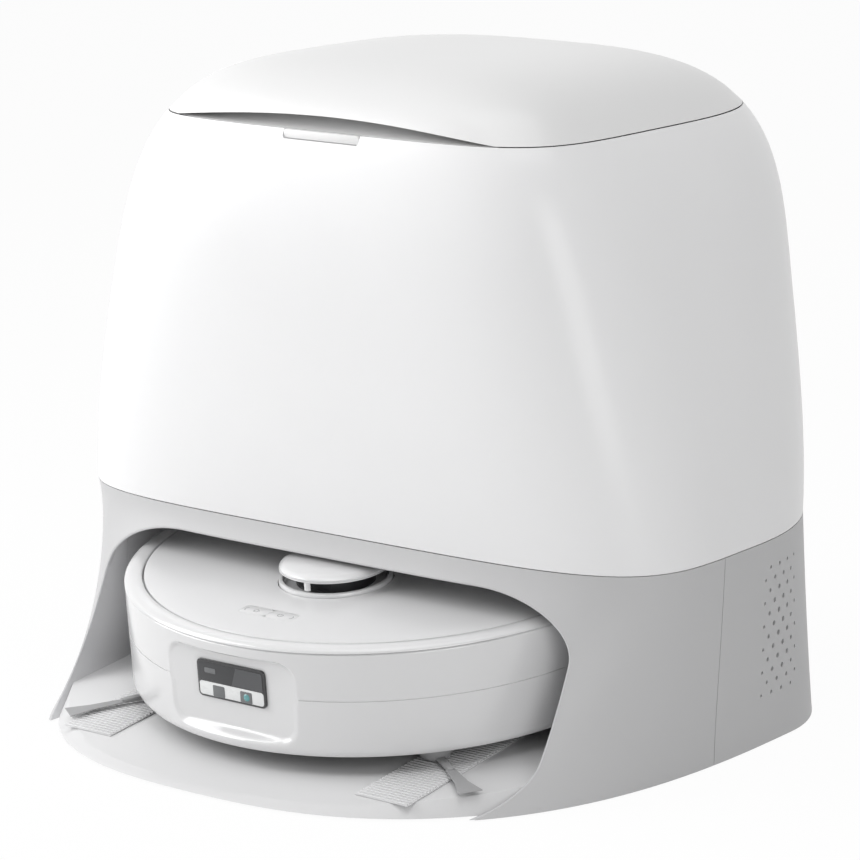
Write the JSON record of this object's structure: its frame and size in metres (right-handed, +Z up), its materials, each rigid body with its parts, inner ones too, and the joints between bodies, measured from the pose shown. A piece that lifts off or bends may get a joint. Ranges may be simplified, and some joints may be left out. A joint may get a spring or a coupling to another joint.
{
  "type": "robot vacuum with docking station",
  "caption": "Round robot vacuum and mop with a laser turret, parked nose out on the ramp of a tall domed emptying and washing dock with a hinged lid.",
  "frame": {"origin": "on the floor under the middle of the overall box", "axes": "-Y is the side where the robot drives out, +X is to the right of someone facing that side, +Z is up"},
  "size_m": [0.4804, 0.4944, 0.4394],
  "materials": {
    "gloss_white": "high gloss moulded dome",
    "satin_white": "satin moulded plastic",
    "dock_grey": "fine satin grey plastic",
    "tray_white": "fine matte pale plastic",
    "robot_white": "gloss white robot covers",
    "inner_grey": "dark grey inner plastic",
    "black_plastic": "black glass-filled plastic",
    "black_glass": "smoked infrared window",
    "tank_clear": "clear tinted tank",
    "tank_smoke": "smoked tank",
    "rubber": "black rubber",
    "brush_grey": "translucent grey soft plastic",
    "steel": "ground steel rod",
    "contact_metal": "plated contacts",
    "board_green": "circuit board",
    "paper_bag": "filter paper bag",
    "mop_cloth": "microfibre loop pile"
  },
  "bodies": {
    "dock": {"base_tray": "tray_white", "foot_front_left": "rubber", "foot_front_right": "rubber", "foot_rear_left": "rubber", "foot_rear_right": "rubber", "track_strip_left": "tray_white", "track_strip_right": "tray_white", "wash_board": "inner_grey", "lower_shell": "dock_grey", "rear_cover": "dock_grey", "power_inlet": "black_plastic", "garage_liner": "inner_grey", "beacon_window": "black_glass", "upper_shell": "gloss_white", "lid_hinge_rod": "steel", "status_light": "satin_white", "finger_scoop": "satin_white", "tank_bay": "inner_grey", "clean_tank": "tank_clear", "clean_tank_cap": "satin_white", "dirty_tank": "tank_smoke", "dirty_tank_cap": "inner_grey", "bag_holder": "inner_grey", "dust_bag": "paper_bag", "suction_motor": "black_plastic", "dust_duct": "inner_grey", "control_board": "board_green", "drying_fan": "black_plastic"},
    "lid": {"lid": "satin_white"},
    "drive_unit": {"drive_gearbox_left": "black_plastic", "drive_gearbox_right": "black_plastic"},
    "robot": {"chassis": "black_plastic", "rear_shell": "robot_white", "charge_pads": "contact_metal", "top_rim": "robot_white", "top_cover": "robot_white", "lidar_base": "robot_white", "dustbin": "tank_smoke", "battery": "black_plastic", "suction_fan": "black_plastic"},
    "bumper": {"bumper_lower": "robot_white", "bumper_upper": "robot_white", "window_housing": "robot_white", "sensor_window": "black_glass", "sensor_panel": "satin_white"},
    "lidar_cap": {"lidar_cap": "robot_white"},
    "lidar_rotor": {"lidar_rotor": "black_plastic"},
    "home_button": {"home_button": "robot_white"},
    "power_button": {"power_button": "robot_white"},
    "wheel_left": {"drive_wheel_left": "rubber"},
    "wheel_right": {"drive_wheel_right": "rubber"},
    "caster": {"caster_fork": "black_plastic"},
    "caster_wheel": {"caster_wheel": "rubber"},
    "side_brush_left": {"side_brush_left": "brush_grey"},
    "side_brush_right": {"side_brush_right": "brush_grey"},
    "main_brush": {"main_brush": "rubber"},
    "mop_left": {"mop_pad_left": "mop_cloth"},
    "mop_right": {"mop_pad_right": "mop_cloth"},
    "contact_left": {"dock_contact_left": "contact_metal"},
    "contact_right": {"dock_contact_right": "contact_metal"}
  },
  "joints": [
    {"name": "lid_open", "type": "hinge", "parent": "dock", "child": "lid", "pos_m": [0, 0.21207, 0.399], "axis": [-1, 0, 0], "range_deg": [0, 80]},
    {"name": "robot_drive_out", "type": "slide", "parent": "dock", "child": "drive_unit", "axis": [0, -0.9977, -0.0675], "range_m": [0, 0.4009]},
    {"name": "robot_level", "type": "hinge", "parent": "drive_unit", "child": "robot", "pos_m": [0, -0.03618, 0.06227], "axis": [-1, 0, 0], "range_deg": [0, 6]},
    {"name": "bumper_push", "type": "slide", "parent": "robot", "child": "bumper", "axis": [0, 0.9945, 0.1045], "range_m": [0, 0.003], "stiffness_N_per_m": 900, "springref_m": -0.002},
    {"name": "lidar_cap_press", "type": "slide", "parent": "robot", "child": "lidar_cap", "axis": [0, 0.1045, -0.9945], "range_m": [0, 0.0006], "stiffness_N_per_m": 900, "springref_m": -0.0008},
    {"name": "lidar_spin", "type": "hinge", "parent": "robot", "child": "lidar_rotor", "pos_m": [0, -0.09779, 0.11271], "axis": [0, -0.1045, 0.9945], "continuous": true},
    {"name": "home_button_press", "type": "slide", "parent": "robot", "child": "home_button", "axis": [0, 0.1045, -0.9945], "range_m": [0, 0.0008], "stiffness_N_per_m": 600, "springref_m": -0.0005},
    {"name": "power_button_press", "type": "slide", "parent": "robot", "child": "power_button", "axis": [0, 0.1045, -0.9945], "range_m": [0, 0.0008], "stiffness_N_per_m": 600, "springref_m": -0.0005},
    {"name": "left_wheel_roll", "type": "hinge", "parent": "drive_unit", "child": "wheel_left", "pos_m": [-0.118, -0.03618, 0.06227], "axis": [1, 0, 0], "continuous": true},
    {"name": "right_wheel_roll", "type": "hinge", "parent": "drive_unit", "child": "wheel_right", "pos_m": [0.118, -0.03618, 0.06227], "axis": [1, 0, 0], "continuous": true},
    {"name": "caster_swivel", "type": "hinge", "parent": "robot", "child": "caster", "pos_m": [0, -0.16302, 0.02541], "axis": [0, -0.1045, 0.9945], "continuous": true},
    {"name": "caster_roll", "type": "hinge", "parent": "caster", "child": "caster_wheel", "pos_m": [0, -0.16284, 0.02362], "axis": [1, 0, 0], "continuous": true},
    {"name": "left_side_brush_spin", "type": "hinge", "parent": "robot", "child": "side_brush_left", "pos_m": [-0.112, -0.14114, 0.02771], "axis": [0, -0.1045, 0.9945], "continuous": true},
    {"name": "right_side_brush_spin", "type": "hinge", "parent": "robot", "child": "side_brush_right", "pos_m": [0.112, -0.14114, 0.02771], "axis": [0, -0.1045, 0.9945], "continuous": true},
    {"name": "main_brush_spin", "type": "hinge", "parent": "robot", "child": "main_brush", "pos_m": [0, -0.09089, 0.04707], "axis": [1, 0, 0], "continuous": true},
    {"name": "left_mop_spin", "type": "hinge", "parent": "robot", "child": "mop_left", "pos_m": [-0.067, 0.05179, 0.04799], "axis": [0, -0.1045, 0.9945], "continuous": true},
    {"name": "right_mop_spin", "type": "hinge", "parent": "robot", "child": "mop_right", "pos_m": [0.067, 0.05179, 0.04799], "axis": [0, -0.1045, 0.9945], "continuous": true},
    {"name": "left_contact_press", "type": "slide", "parent": "dock", "child": "contact_left", "axis": [0, 1, 0], "range_m": [0, 0.002], "stiffness_N_per_m": 400, "springref_m": -0.001},
    {"name": "right_contact_press", "type": "slide", "parent": "dock", "child": "contact_right", "axis": [0, 1, 0], "range_m": [0, 0.002], "stiffness_N_per_m": 400, "springref_m": -0.001}
  ],
  "couplings": [
    {"joint": "robot_level", "follows": "robot_drive_out", "rad_per_m": 0.2612}
  ]
}
